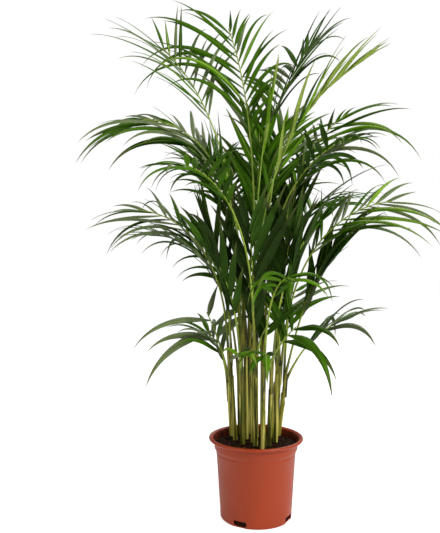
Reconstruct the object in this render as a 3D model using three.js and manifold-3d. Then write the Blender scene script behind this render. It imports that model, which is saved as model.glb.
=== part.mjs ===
// A potted areca palm: a round nursery pot, its soil, a clump of slim canes, and feathered fronds.
// Millimetres, +Z up, with the origin at the centre of the pot's flat underside.
// Angles are in degrees. A heading of 0 points along +X, and 90 along +Y.
import * as THREE from "three";
import { mergeVertices } from "three/addons/utils/BufferGeometryUtils.js";
import Module from "manifold-3d";

const wasm = await Module();
wasm.setup();

// Driving sizes of the pot.
const POT_HEIGHT = 203.5;
const POT_FOOT_RADIUS = 90.6;
const POT_SHOULDER_RADIUS = 101;
const POT_NECK_RADIUS = 106;
const POT_LIP_RADIUS = 120;
const POT_WALL = 2;
const POT_FLOOR = 3;
const POT_FOOT_ROUNDING = 4.5;
const POT_SIDES = 36;
const SHOULDER_Z = 167;
const NECK_Z = 175;
const LIP_UNDERSIDE_Z = 193;
const NOTCH_WIDTH = 35;
const NOTCH_HEIGHT = 17;
const NOTCH_DEPTH = 10;
const NOTCH_HEADINGS = [-119, -29, 61, 151];

// The soil stops about a finger below the lip. Pieces that touch keep this fit between them.
const SOIL_Z = 186;
const FIT = 0.3;

// Canes are widest at their swollen foot. Stems stand side by side on a cane's flat tip.
const CANE_SIDES = 7;
const CANE_FOOT_RADIUS = 6;
const CANE_TIP_RADIUS = 5;
const CANE_RINGS = [0, 0.08, 0.5, 1];
const STEM_RADIUS = 3.1;
const STEM_END_RADIUS = 1.8;
const STEM_STEPS = 10;
const STEM_OFFSET = 3.8;

// A leaflet bends at two places. Its fold is deep enough for a hundredth of its length.
const LEAFLET_STEPS = 8;
const LEAFLET_STATIONS = [3, 6];
const LEAFLET_FOLD_SHARE = 1 / 80;
const LEAFLET_WIDEN = 1.35;
const LEAFLET_ROOT = { width: 1.4, depth: 0.9 };
const PAIR_SHARE = 0.62;

// Where each cane stands on the soil, where it leans to, how much, and how tall it is.
const CANES = [
  { x: -60, y: 62, heading: 175, lean: 4, height: 138 },
  { x: -51, y: 22, heading: 180, lean: 4.5, height: 213 },
  { x: -38, y: 80, heading: 110, lean: 3, height: 188 },
  { x: -34, y: -12, heading: 215, lean: 2, height: 173 },
  { x: -14, y: 84, heading: 95, lean: 2, height: 238 },
  { x: -3, y: -30, heading: 265, lean: 3, height: 218 },
  { x: 22, y: 82, heading: 80, lean: 3, height: 228 },
  { x: 20, y: 22, heading: 300, lean: 1, height: 248 },
  { x: 30, y: -30, heading: 310, lean: 4, height: 178 },
  { x: 46, y: 46, heading: 20, lean: 5, height: 208 },
  { x: 64, y: 64, heading: 5, lean: 8, height: 148 },
  { x: -22, y: 34, heading: 190, lean: 1, height: 258 },
  { x: 4, y: 50, heading: 90, lean: 1, height: 268 },
  { x: 50, y: 4, heading: 335, lean: 4, height: 193 },
  { x: -30, y: 56, heading: 150, lean: 2, height: 228 },
  { x: -8, y: 4, heading: 240, lean: 1, height: 238 },
  { x: 14, y: -58, heading: 280, lean: 3, height: 168 },
];

// What the fronds of one tier share: how late the stem bends, how many leaflet pairs it has,
// how wide they are, how far they spread and lift from the stem, and how much they droop.
const TIERS = {
  top: { bend: 2.2, pairs: 12, width: 16, spread: 56, lift: 20, droop: 1 },
  upper: { bend: 2.1, pairs: 12, width: 17, spread: 52, lift: 20, droop: 1.2 },
  middle: { bend: 1.9, pairs: 11, width: 18, spread: 52, lift: 20, droop: 1.3 },
  lower: { bend: 1.3, pairs: 5, width: 21, spread: 60, lift: 10, droop: 1.7 },
  inner: { bend: 1.6, pairs: 8, width: 26, spread: 26, lift: 14, droop: 0.5 },
};

// Each frond's cane, where it heads, its first lean, how far it arches over, the length of its bare
// stalk and of its blade, and its longest leaflet. Some also roll, or differ from their tier. The
// leaflets of a lopsided frond are longer and stiffer on its left.
const FRONDS = {
  top: [
    {
      cane: 12, heading: 135, lean: 0, arch: 24, stalk: 515, blade: 335, leaf: 256,
      bend: 2.6, roll: -55, spread: 41, lift: 12, pairs: 14, width: 14, droop: 2, lopsided: 0.34,
    },
    {
      cane: 11, heading: 160, lean: 4, arch: 42, stalk: 590, blade: 260, leaf: 260,
      roll: -35, width: 11, spread: 50, pairs: 11, droop: 0.8,
    },
    {
      cane: 4, heading: 20, lean: 0, arch: 42, stalk: 580, blade: 290, leaf: 250,
      width: 16, spread: 58, pairs: 14,
    },
    {
      cane: 15, heading: 350, lean: 1, arch: 58, stalk: 450, blade: 350, leaf: 215,
      bend: 2, spread: 26, width: 14, pairs: 14, droop: 0.8, young: true,
    },
    {
      cane: 15, heading: 10, lean: 2, arch: 10, stalk: 490, blade: 200, leaf: 150,
      spread: 9, width: 17, pairs: 5, lift: 5, droop: 0.1, young: true,
    },
  ],
  upper: [
    {
      cane: 11, heading: 185, lean: 2, arch: 102, stalk: 400, blade: 320, leaf: 246,
      bend: 2.9, pairs: 14, spread: 50, roll: -38, lift: 6, droop: 1.45, lopsided: 0.36,
    },
    {
      cane: 9, heading: 355, lean: 0, arch: 56, stalk: 410, blade: 280, leaf: 210,
      bend: 2.6, roll: 42, spread: 54, lift: 4, width: 14, droop: 1.9, lopsided: -0.4,
    },
    {
      cane: 14, heading: 140, lean: 2, arch: 40, stalk: 350, blade: 220, leaf: 180,
      roll: -20, spread: 40,
    },
    {
      cane: 7, heading: 55, lean: 2, arch: 34, stalk: 380, blade: 230, leaf: 200,
      roll: 25, spread: 40,
    },
    { cane: 2, heading: 100, lean: 3, arch: 60, stalk: 360, blade: 290, leaf: 240 },
    { cane: 6, heading: 70, lean: 3, arch: 58, stalk: 360, blade: 300, leaf: 250 },
    {
      cane: 5, heading: 228, lean: 1, arch: 96, stalk: 400, blade: 200, leaf: 160,
      spread: 60, pairs: 9, droop: 3,
    },
    {
      cane: 7, heading: 318, lean: 1, arch: 84, stalk: 420, blade: 200, leaf: 160,
      spread: 60, pairs: 9, droop: 3.2,
    },
  ],
  middle: [
    {
      cane: 1, heading: 180, lean: 3, arch: 86, stalk: 230, blade: 270, leaf: 215,
      lift: 8, width: 14, spread: 52, roll: -30, droop: 1.3, lopsided: 0.2,
    },
    {
      cane: 13, heading: 350, lean: 6, arch: 80, stalk: 290, blade: 255, leaf: 240,
      lift: 4, width: 14, spread: 50, roll: 38, droop: 1.25, lopsided: -0.2,
    },
    {
      cane: 10, heading: 345, lean: 13, arch: 24, stalk: 170, blade: 240, leaf: 200,
      spread: 24, width: 24, pairs: 9, roll: 40, lopsided: -0.25,
    },
    {
      cane: 3, heading: 215, lean: 4, arch: 50, stalk: 150, blade: 240, leaf: 200,
      spread: 22, width: 26, pairs: 6,
    },
    {
      cane: 8, heading: 335, lean: 4, arch: 44, stalk: 190, blade: 240, leaf: 200,
      spread: 26, width: 24, pairs: 7,
    },
    {
      cane: 16, heading: 285, lean: 3, arch: 104, stalk: 220, blade: 150, leaf: 150,
      spread: 62, width: 20, pairs: 5, droop: 4.5,
    },
    { cane: 6, heading: 35, lean: 4, arch: 88, stalk: 260, blade: 280, leaf: 260 },
    { cane: 4, heading: 80, lean: 4, arch: 84, stalk: 280, blade: 280, leaf: 280 },
    {
      cane: 2, heading: 168, lean: 6, arch: 82, stalk: 190, blade: 270, leaf: 250,
      lift: 8, width: 13, spread: 48, droop: 1.3,
    },
  ],
  lower: [
    {
      cane: 0, heading: 180, lean: 12, arch: 14, stalk: 110, blade: 90, leaf: 240,
      spread: 80, pairs: 3, roll: -60, droop: 1.5, lopsided: 0.25,
    },
    {
      cane: 10, heading: 0, lean: 24, arch: 46, stalk: 90, blade: 140, leaf: 240,
      spread: 56, droop: 1.3, lift: 15,
    },
    {
      cane: 3, heading: 262, lean: 6, arch: 100, stalk: 50, blade: 60, leaf: 110,
      spread: 26, droop: 4.5, pairs: 2,
    },
    {
      cane: 16, heading: 345, lean: 18, arch: 30, stalk: 100, blade: 60, leaf: 230,
      spread: 72, width: 24, pairs: 3, droop: 1.7, roll: 50,
    },
    { cane: 10, heading: 72, lean: 8, arch: 60, stalk: 120, blade: 180, leaf: 200 },
    { cane: 4, heading: 114, lean: 8, arch: 60, stalk: 120, blade: 180, leaf: 200 },
    { cane: 0, heading: 150, lean: 6, arch: 40, stalk: 60, blade: 90, leaf: 200, droop: 1.8 },
    {
      cane: 5, heading: 30, lean: 6, arch: 40, stalk: 40, blade: 60, leaf: 190,
      spread: 64, width: 28, pairs: 2, droop: 0.7,
    },
    {
      cane: 8, heading: 250, lean: 8, arch: 100, stalk: 60, blade: 50, leaf: 130,
      spread: 30, width: 22, pairs: 2, droop: 4.5,
    },
  ],
  inner: [
    { cane: 5, heading: 250, lean: 2, arch: 14, stalk: 60, blade: 280, leaf: 220 },
    { cane: 13, heading: 300, lean: 3, arch: 18, stalk: 80, blade: 280, leaf: 220 },
    { cane: 9, heading: 40, lean: 3, arch: 20, stalk: 200, blade: 290, leaf: 210 },
    { cane: 1, heading: 200, lean: 3, arch: 20, stalk: 100, blade: 280, leaf: 210 },
    { cane: 12, heading: 80, lean: 2, arch: 10, stalk: 280, blade: 290, leaf: 220 },
    { cane: 14, heading: 170, lean: 2, arch: 14, stalk: 270, blade: 260, leaf: 200 },
  ],
};

// A leaflet that meets another piece tries these turns, lifts and shorter lengths in this order.
const LEAFLET_TRIES = [
  { turn: 0, lift: 0, length: 1 },
  { turn: 0, lift: 8, length: 1 },
  { turn: 0, lift: -8, length: 1 },
  { turn: 8, lift: 0, length: 1 },
  { turn: -8, lift: 0, length: 1 },
  { turn: 0, lift: 17, length: 1 },
  { turn: 0, lift: -17, length: 1 },
  { turn: 0, lift: 0, length: 0.8 },
  { turn: 0, lift: 12, length: 0.8 },
  { turn: 0, lift: -12, length: 0.8 },
  { turn: 0, lift: 0, length: 0.6 },
  { turn: 0, lift: 10, length: 0.6 },
  { turn: 0, lift: -10, length: 0.6 },
];

const radians = (degrees) => (degrees * Math.PI) / 180;

// A steady number from 0 to 1 for these three keys, and one spread evenly about nought.
function noise(a, b, c) {
  const value = Math.sin(a * 12.9898 + b * 78.233 + c * 37.719) * 43758.5453;
  return value - Math.floor(value);
}
const jitter = (amount, a, b, c) => amount * (2 * noise(a, b, c) - 1);

// Triangles over a row of rings. A ring of one point closes an end, and a wider one gets a flat cap.
function loft(rings) {
  const points = rings.flat();
  const triangles = [];
  let first = 0;
  for (let i = 0; i < rings.length; i++) {
    const count = rings[i].length;
    const next = rings[i + 1];
    const second = first + count;
    const isEnd = i === 0 || i === rings.length - 1;
    if (isEnd) {
      for (let k = 1; k < count - 1; k++) {
        triangles.push(i === 0 ? [first, first + k + 1, first + k] : [first, first + k, first + k + 1]);
      }
    }
    if (next) {
      const sides = Math.max(count, next.length);
      for (let k = 0; k < sides; k++) {
        const after = (k + 1) % sides;
        const low = count > 1 ? [first + k, first + after] : [first, first];
        const high = next.length > 1 ? [second + k, second + after] : [second, second];
        if (count > 1) triangles.push([low[0], low[1], high[1]]);
        if (next.length > 1) triangles.push([low[0], high[1], high[0]]);
      }
    }
    first = second;
  }
  return { points, triangles };
}

// Six times the volume that the triangles enclose, below nought where they face inwards.
function enclosed({ points, triangles }) {
  const cross = new THREE.Vector3();
  let total = 0;
  for (const [a, b, c] of triangles) {
    total += points[a].dot(cross.crossVectors(points[b], points[c]));
  }
  return total;
}

function solidFromFaces(faces) {
  const outward = enclosed(faces) > 0;
  const triangles = faces.triangles.map(([a, b, c]) => (outward ? [a, b, c] : [a, c, b]));
  return new wasm.Manifold(
    new wasm.Mesh({
      numProp: 3,
      vertProperties: new Float32Array(faces.points.flatMap((point) => point.toArray())),
      triVerts: new Uint32Array(triangles.flat()),
    }),
  );
}

function solidFromGeometry(geometry) {
  geometry.deleteAttribute("normal");
  geometry.deleteAttribute("uv");
  const merged = mergeVertices(geometry, 1e-3);
  return new wasm.Manifold(
    new wasm.Mesh({
      numProp: 3,
      vertProperties: new Float32Array(merged.attributes.position.array),
      triVerts: new Uint32Array(merged.index.array),
    }),
  );
}

function geometryFromSolid(solid) {
  const mesh = solid.getMesh();
  const geometry = new THREE.BufferGeometry();
  geometry.setAttribute("position", new THREE.BufferAttribute(mesh.vertProperties, 3));
  geometry.setIndex(new THREE.BufferAttribute(mesh.triVerts, 1));
  geometry.computeVertexNormals();
  return geometry;
}

// A profile turned about the vertical axis, from rows of radius and height.
function turned(profile, sides) {
  const points = profile.map(([radius, z]) => new THREE.Vector2(radius, z));
  const geometry = new THREE.LatheGeometry(points, sides);
  geometry.rotateX(Math.PI / 2);
  return geometry;
}

// The pot: flat underside, rounded foot, tapering wall, a step out to the neck, and a rolled lip.
function makePot() {
  const inside = POT_NECK_RADIUS - POT_WALL;
  const profile = [
    [0, 0],
    [POT_FOOT_RADIUS - POT_FOOT_ROUNDING, 0],
    [POT_FOOT_RADIUS - 1.3, 2.2],
    [POT_FOOT_RADIUS, 9],
    [POT_SHOULDER_RADIUS, SHOULDER_Z],
    [POT_NECK_RADIUS, NECK_Z],
    [POT_NECK_RADIUS + 0.5, LIP_UNDERSIDE_Z - 4],
    [POT_NECK_RADIUS + 4, LIP_UNDERSIDE_Z + 0.5],
    [POT_LIP_RADIUS - 2.5, LIP_UNDERSIDE_Z + 2.5],
    [POT_LIP_RADIUS, LIP_UNDERSIDE_Z + 6],
    [POT_LIP_RADIUS - 2.5, POT_HEIGHT - 0.6],
    [POT_LIP_RADIUS - 7, POT_HEIGHT],
    [POT_NECK_RADIUS + 3.8, POT_HEIGHT - 4.5],
    [inside + 0.5, LIP_UNDERSIDE_Z - 5],
    [inside, NECK_Z + 1],
    [POT_SHOULDER_RADIUS - POT_WALL, SHOULDER_Z + 1],
    [POT_FOOT_RADIUS - POT_WALL, 9],
    [POT_FOOT_RADIUS - POT_FOOT_ROUNDING, POT_FLOOR],
    [0, POT_FLOOR],
  ];
  const body = solidFromGeometry(turned(profile, POT_SIDES));
  return NOTCH_HEADINGS.reduce((pot, heading) => pot.subtract(makeNotch(heading)), body);
}

// A drainage notch at the foot, cut through the wall and the edge of the floor.
function makeNotch(heading) {
  const below = 10;
  const box = new THREE.BoxGeometry(NOTCH_DEPTH, NOTCH_WIDTH, NOTCH_HEIGHT + below);
  box.translate(POT_FOOT_RADIUS, 0, (NOTCH_HEIGHT - below) / 2);
  box.rotateZ(radians(heading));
  return solidFromGeometry(box);
}

// The soil keeps clear of the pot all round, and is drawn in behind the notches.
function makeSoil() {
  const inset = POT_WALL + 3 * FIT;
  const foot = POT_FOOT_RADIUS - NOTCH_DEPTH / 2 - FIT;
  const profile = [
    [0, POT_FLOOR + FIT],
    [foot - 1, POT_FLOOR + FIT],
    [foot, NOTCH_HEIGHT],
    [POT_SHOULDER_RADIUS - inset, SHOULDER_Z],
    [POT_NECK_RADIUS - inset, NECK_Z + 5 * FIT],
    [POT_NECK_RADIUS - inset, SOIL_Z],
    [0, SOIL_Z],
  ];
  return solidFromGeometry(turned(profile, POT_SIDES));
}

function headingVector(degrees) {
  return new THREE.Vector3(Math.cos(radians(degrees)), Math.sin(radians(degrees)), 0);
}

// A point of a cane's axis, at a share of its height. It leans out and straightens a little.
function canePoint(cane, share) {
  const rise = cane.height * share;
  const out = rise * Math.tan(radians(cane.lean)) * (1 - 0.15 * share);
  const foot = new THREE.Vector3(cane.x, cane.y, SOIL_Z + FIT + rise);
  return foot.addScaledVector(headingVector(cane.heading), out);
}

function flatRing(centre, radius, sides, start) {
  return Array.from({ length: sides }, (_, k) =>
    centre.clone().addScaledVector(headingVector(start + (360 * k) / sides), radius),
  );
}

function makeCane(cane) {
  const rings = CANE_RINGS.map((share, ring) => {
    const swell = ring === 0 ? 1 : share < 0.2 ? 0.55 : 0.55 * (1 - share);
    const radius = CANE_TIP_RADIUS + (CANE_FOOT_RADIUS - CANE_TIP_RADIUS) * swell;
    return flatRing(canePoint(cane, share), radius, CANE_SIDES, cane.heading);
  });
  return solidFromFaces(loft(rings));
}

// The direction of a frond's stem at a share of its length, with the way that its face looks and its side.
function stemFrame(frond, share) {
  const tilt = radians(frond.lean + frond.arch * share ** frond.bend);
  const heading = radians(frond.heading);
  const roll = radians(frond.roll);
  const along = new THREE.Vector3(
    Math.sin(tilt) * Math.cos(heading),
    Math.sin(tilt) * Math.sin(heading),
    Math.cos(tilt),
  );
  const level = new THREE.Vector3(
    -Math.cos(tilt) * Math.cos(heading),
    -Math.cos(tilt) * Math.sin(heading),
    Math.sin(tilt),
  );
  const across = new THREE.Vector3().crossVectors(along, level);
  const face = level.clone().multiplyScalar(Math.cos(roll)).addScaledVector(across, Math.sin(roll));
  const side = across.clone().multiplyScalar(Math.cos(roll)).addScaledVector(level, -Math.sin(roll));
  return { along, face, side };
}

// Which way from the middle of its cane's tip a stem stands: the one that arches over most stands
// where it heads, and the others follow round the tip at even turns.
function seatHeading(frond) {
  const neighbours = plans.filter(({ cane }) => cane === frond.cane);
  const ordered = neighbours.toSorted((a, b) => b.lean + b.arch - a.lean - a.arch);
  return ordered[0].heading + (360 * ordered.indexOf(frond)) / ordered.length;
}

// The stem from its cane's tip to the end of the blade, as points with a frame at each.
function growStem(frond) {
  const tip = canePoint(CANES[frond.cane], 1);
  const start = tip.addScaledVector(headingVector(seatHeading(frond)), STEM_OFFSET);
  start.z += FIT;
  const step = (frond.stalk + frond.blade) / STEM_STEPS;
  const stem = [{ point: start, ...stemFrame(frond, 0) }];
  for (let i = 1; i <= STEM_STEPS; i++) {
    const { along } = stemFrame(frond, (i - 0.5) / STEM_STEPS);
    const point = stem[i - 1].point.clone().addScaledVector(along, step);
    stem.push({ point, ...stemFrame(frond, i / STEM_STEPS) });
  }
  return stem;
}

function makeStem(stem) {
  const rings = stem.map(({ point, face, side }, i) => {
    const radius = THREE.MathUtils.lerp(STEM_RADIUS, STEM_END_RADIUS, i / STEM_STEPS);
    return [0, 1, 2].map((k) => {
      const turn = radians(120 * k - 90);
      const corner = point.clone().addScaledVector(side, radius * Math.cos(turn));
      corner.addScaledVector(face, -radius * Math.sin(turn));
      if (i === 0) corner.z = point.z;
      return corner;
    });
  });
  return solidFromFaces(loft(rings));
}

// The stem's point and frame between two of its steps.
function alongStem(stem, place) {
  const before = Math.min(Math.floor(place), stem.length - 2);
  const share = place - before;
  const mix = (key) => stem[before][key].clone().lerp(stem[before + 1][key], share);
  return { point: mix("point"), along: mix("along"), face: mix("face"), side: mix("side") };
}

// Leaflets are shorter near the stalk, longest at the middle of the blade, and short at its end.
function lengthShare(share) {
  if (share < 0.35) return 0.65 + share;
  if (share < 0.6) return 1;
  return 1 - 1.5 * (share - 0.6);
}

// Leaflets lie along the stem near the stalk and at the end, and stand out between them.
function spreadShare(share) {
  return 0.5 + 1.9 * share - 2.1 * share * share;
}

// Half of a leaflet's width at a share of its length: a narrow root, and a long fine tip.
function halfWidth(width, share) {
  if (share < 0.3) return (width / 2) * (0.35 + 0.65 * Math.sin((share / 0.3) * (Math.PI / 2)));
  return (width / 2) * (1 - ((share - 0.3) / 0.7) ** 2);
}

// One leaflet of a frond: where its root sits, the way it starts, and its sizes.
function planLeaflet(frond, index, stem, pair, side, attempt) {
  const pairs = Math.round(frond.pairs * PAIR_SHARE);
  const key = 2 * pair + (side > 0 ? 1 : 0);
  const share = Math.min(0.985, (pair + 0.4 + side * 0.18) / pairs);
  const whole = frond.stalk + frond.blade;
  const place = ((frond.stalk + frond.blade * share) / whole) * STEM_STEPS;
  const seat = alongStem(stem, place);
  const along = seat.along.normalize();
  const spread = radians(frond.spread * spreadShare(share) + jitter(8, index, key, 1) + attempt.turn);
  const lift = radians(frond.lift + jitter(14, index, key, 2) + attempt.lift);
  const direction = along.clone().multiplyScalar(Math.cos(spread));
  direction.addScaledVector(seat.side, Math.sin(spread) * Math.cos(lift) * side);
  direction.addScaledVector(seat.face, Math.sin(spread) * Math.sin(lift));
  const grown = lengthShare(share);
  const favour = side * frond.lopsided;
  return {
    root: seat.point,
    direction: direction.normalize(),
    across: along,
    face: seat.face,
    length: frond.leaf * grown * (1 - favour) * (1 + jitter(0.13, index, key, 3)) * attempt.length,
    width: frond.width * LEAFLET_WIDEN * (0.75 + 0.25 * grown) * (1 + jitter(0.12, index, key, 4)),
    droop: frond.droop * (1 + favour) * (1 + jitter(0.5, index, key, 5)),
  };
}

// A leaflet's midline, which its own weight turns down, more so towards the thin tip.
function leafletLine(leaflet) {
  const step = leaflet.length / LEAFLET_STEPS;
  const direction = leaflet.direction.clone();
  const across = leaflet.across.clone();
  const point = leaflet.root.clone();
  const upright = across.clone().cross(direction).dot(leaflet.face) > 0;
  const line = [];
  for (let i = 0; i <= LEAFLET_STEPS; i++) {
    across.addScaledVector(direction, -across.dot(direction)).normalize();
    const under = across.clone().cross(direction);
    if (upright) under.negate();
    line.push({ point: point.clone(), across: across.clone(), under });
    const share = (i + 0.5) / LEAFLET_STEPS;
    point.addScaledVector(direction, step);
    const down = new THREE.Vector3(0, 0, -1).addScaledVector(direction, direction.z);
    const bend = (leaflet.droop * (0.6 + 2.2 * share * share) * step) / 300;
    direction.addScaledVector(down, bend).normalize();
  }
  return line;
}

// A leaflet's blade, folded along its midrib. The margin is added all round it.
function makeLeaflet(leaflet, margin) {
  const line = leafletLine(leaflet);
  const fold = leaflet.length * LEAFLET_FOLD_SHARE;
  const ring = ({ point, across, under }, half, depth) => [
    point.clone().addScaledVector(across, half + margin).addScaledVector(under, -margin - depth / 3),
    point.clone().addScaledVector(across, -half - margin).addScaledVector(under, -margin - depth / 3),
    point.clone().addScaledVector(under, (depth * 2) / 3 + margin),
  ];
  const root = ring(line[0], LEAFLET_ROOT.width / 2 - margin, LEAFLET_ROOT.depth - margin);
  const middle = LEAFLET_STATIONS.map((at) =>
    ring(line[at], halfWidth(leaflet.width, at / LEAFLET_STEPS), fold),
  );
  const rings = [root, ...middle, [line[LEAFLET_STEPS].point]];
  const spans = rings.slice(1).map((after, i) => new THREE.Box3().setFromPoints([...rings[i], ...after]));
  return { solid: solidFromFaces(loft(rings)), spans };
}

function meets(candidate, other) {
  if (!candidate.spans.some((a) => other.spans.some((b) => a.intersectsBox(b)))) return false;
  const common = candidate.solid.intersect(other.solid);
  const touches = !common.isEmpty();
  common.delete();
  return touches;
}

// Boxes round the stretches of a cane's or stem's axis, with its thickness.
function spansOf(axis) {
  const stretches = axis.slice(1).map((after, i) => new THREE.Box3().setFromPoints([axis[i], after]));
  return stretches.map((box) => box.expandByScalar(CANE_FOOT_RADIUS));
}

// The first try at a leaflet that is clear of everything but its own frond, or none.
function placeLeaflet(frond, index, stem, pair, side, others) {
  for (const attempt of LEAFLET_TRIES) {
    const leaflet = planLeaflet(frond, index, stem, pair, side, attempt);
    const padded = makeLeaflet(leaflet, FIT);
    const blocked = others.some((other) => meets(padded, other));
    padded.solid.delete();
    if (!blocked) return makeLeaflet(leaflet, 0);
  }
  return null;
}

function standardMaterial(color, roughness) {
  return new THREE.MeshStandardMaterial({ color, roughness, metalness: 0 });
}
const POT_PLASTIC = standardMaterial(0xa34a30, 0.42);
const SOIL_CRUMB = standardMaterial(0x2a1c14, 0.95);
const CANE_SKIN = standardMaterial(0x8a8f3c, 0.55);
const FROND_GREEN = standardMaterial(0x2f5a22, 0.5);
const YOUNG_GREEN = standardMaterial(0x6c9a36, 0.5);

const group = new THREE.Group();
function addNode(name, solid, material) {
  const mesh = new THREE.Mesh(geometryFromSolid(solid), material);
  mesh.name = name;
  group.add(mesh);
}

addNode("pot", makePot(), POT_PLASTIC);
addNode("soil", makeSoil(), SOIL_CRUMB);

const canes = CANES.map((cane) => {
  const axis = CANE_RINGS.map((share) => canePoint(cane, share));
  return { solid: makeCane(cane), spans: spansOf(axis) };
});
canes.forEach((cane, i) => addNode(`cane_${i + 1}`, cane.solid, CANE_SKIN));

// One plan for each frond: its tier's habit, with its own values over it.
const plans = Object.entries(FRONDS).flatMap(([tier, rows]) =>
  rows.map((row, i) => ({ name: `${tier}_frond_${i + 1}`, roll: 0, lopsided: 0, ...TIERS[tier], ...row })),
);

// Every stem stands before the first leaflet grows, so that leaflets keep clear of all of them.
const fronds = plans.map((frond) => {
  const stem = growStem(frond);
  return { frond, stem, solid: makeStem(stem), spans: spansOf(stem.map(({ point }) => point)) };
});

const placed = fronds.map(() => []);
fronds.forEach(({ frond, stem }, index) => {
  const otherStems = fronds.filter((_, i) => i !== index);
  const others = [...canes, ...otherStems, ...placed.slice(0, index).flat()];
  const pairs = Math.round(frond.pairs * PAIR_SHARE);
  for (let pair = 0; pair < pairs; pair++) {
    for (const side of [-1, 1]) {
      const leaflet = placeLeaflet(frond, index, stem, pair, side, others);
      if (leaflet) placed[index].push(leaflet);
    }
  }
});

fronds.forEach(({ frond, solid }, index) => {
  const whole = placed[index].reduce((joined, leaflet) => joined.add(leaflet.solid), solid);
  addNode(frond.name, whole, frond.young ? YOUNG_GREEN : FROND_GREEN);
});

export default group;
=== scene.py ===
"""The looks of a potted areca palm: pot, soil, canes, leaf stalks, leaflets, and the stage round them.

The plant grows in millimetres, by the same rule as its solids, and MM turns them into metres.
Angles are in degrees. A heading of 0 points along +X, and 90 along +Y.
"""
import math

import bmesh
import bpy
import numpy as np
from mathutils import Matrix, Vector, noise as relief_noise


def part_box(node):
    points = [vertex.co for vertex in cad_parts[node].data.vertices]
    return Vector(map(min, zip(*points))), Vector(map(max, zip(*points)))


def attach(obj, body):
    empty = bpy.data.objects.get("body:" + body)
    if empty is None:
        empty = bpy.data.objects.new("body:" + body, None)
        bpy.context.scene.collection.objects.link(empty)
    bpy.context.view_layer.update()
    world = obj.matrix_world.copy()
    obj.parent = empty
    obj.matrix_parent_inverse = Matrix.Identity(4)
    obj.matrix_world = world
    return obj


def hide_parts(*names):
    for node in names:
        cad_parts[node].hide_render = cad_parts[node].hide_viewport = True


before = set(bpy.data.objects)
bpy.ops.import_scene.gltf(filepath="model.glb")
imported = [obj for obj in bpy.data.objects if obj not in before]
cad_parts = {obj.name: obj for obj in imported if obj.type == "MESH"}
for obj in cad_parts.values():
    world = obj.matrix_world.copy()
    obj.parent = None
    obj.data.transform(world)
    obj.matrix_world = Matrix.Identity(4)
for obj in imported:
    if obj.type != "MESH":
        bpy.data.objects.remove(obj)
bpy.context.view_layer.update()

bl_info = {
    "name": "Potted Areca Palm",
    "version": (1, 0, 0),
    "blender": (4, 5, 0),
    "location": "3D View > Sidebar > Palm",
    "description": "Dresses the solids of a potted areca palm with finished pieces",
    "category": "Object",
}

MM = 0.001
UP = Vector((0, 0, 1))

# Sizes that the solids share. The pot's height and lip and the soil's top come from the solids in
# model.glb.
POT_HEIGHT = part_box("pot")[1].z / MM
POT_LIP_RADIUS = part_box("pot")[1].x / MM
POT_FOOT_RADIUS = 90.6
POT_SHOULDER_RADIUS = 101
POT_NECK_RADIUS = 106
POT_WALL = 2
POT_FLOOR = 3
POT_FOOT_ROUNDING = 4.5
WALL_START_Z = 9
SHOULDER_Z = 167
NECK_Z = 175
LIP_UNDERSIDE_Z = 193
NOTCH_WIDTH = 35
NOTCH_HEIGHT = 17
NOTCH_DEPTH = 10
NOTCH_HEADINGS = (-119, -29, 61, 151)
SOIL_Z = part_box("soil")[1].z / MM
FIT = 0.3
CANE_FOOT_RADIUS = 6
CANE_TIP_RADIUS = 5
STEM_RADIUS = 3.1
STEM_END_RADIUS = 1.8
STEM_OFFSET = 3.8
# How far up the canes the old leaf bases reach, as shares of their height.
SHEATH_MOUTHS = (0.4, 0.72)
# The radii of the crumbs on the soil, and the share of them that is paler bark.
CRUMB_SMALLEST, CRUMB_LARGEST = 1.1, 4.5
BARK_SHARE = 0.28

# How finely the pieces are drawn.
POT_SIDES = 144
SOIL_SIDES = 120
SOIL_STEPS = 44
CANE_SIDES = 16
CANE_STEPS = 44
STEM_SIDES = 10
STEM_STEPS = 40
LEAFLET_STEPS = 15

# Where each cane stands on the soil, which way it leans, how much, and how tall it is.
CANE_ROWS = [
    (-60, 62, 175, 4, 138),
    (-51, 22, 180, 4.5, 213),
    (-38, 80, 110, 3, 188),
    (-34, -12, 215, 2, 173),
    (-14, 84, 95, 2, 238),
    (-3, -30, 265, 3, 218),
    (22, 82, 80, 3, 228),
    (20, 22, 300, 1, 248),
    (30, -30, 310, 4, 178),
    (46, 46, 20, 5, 208),
    (64, 64, 5, 8, 148),
    (-22, 34, 190, 1, 258),
    (4, 50, 90, 1, 268),
    (50, 4, 335, 4, 193),
    (-30, 56, 150, 2, 228),
    (-8, 4, 240, 1, 238),
    (14, -58, 280, 3, 168),
]
CANE_KEYS = ("x", "y", "heading", "lean", "height")
CANES = [dict(zip(CANE_KEYS, row)) for row in CANE_ROWS]

# What the fronds of one tier share: how late the stem bends, how many leaflet pairs it has,
# how wide they are, how far they spread and lift from the stem, how much they droop, and the
# place of their green in LEAF_TONES.
TIERS = {
    "top": dict(bend=2.2, pairs=12, width=16, spread=56, lift=20, droop=1, tone=2),
    "upper": dict(bend=2.1, pairs=12, width=17, spread=52, lift=20, droop=1.2, tone=2),
    "middle": dict(bend=1.9, pairs=11, width=18, spread=52, lift=20, droop=1.3, tone=2),
    "lower": dict(bend=1.3, pairs=5, width=21, spread=60, lift=10, droop=1.7, tone=2),
    # The inner fronds take the shade green: painted shade for the middle of the crown.
    "inner": dict(bend=1.6, pairs=8, width=26, spread=26, lift=14, droop=0.5, tone=0, wax=0.04),
}
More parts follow.
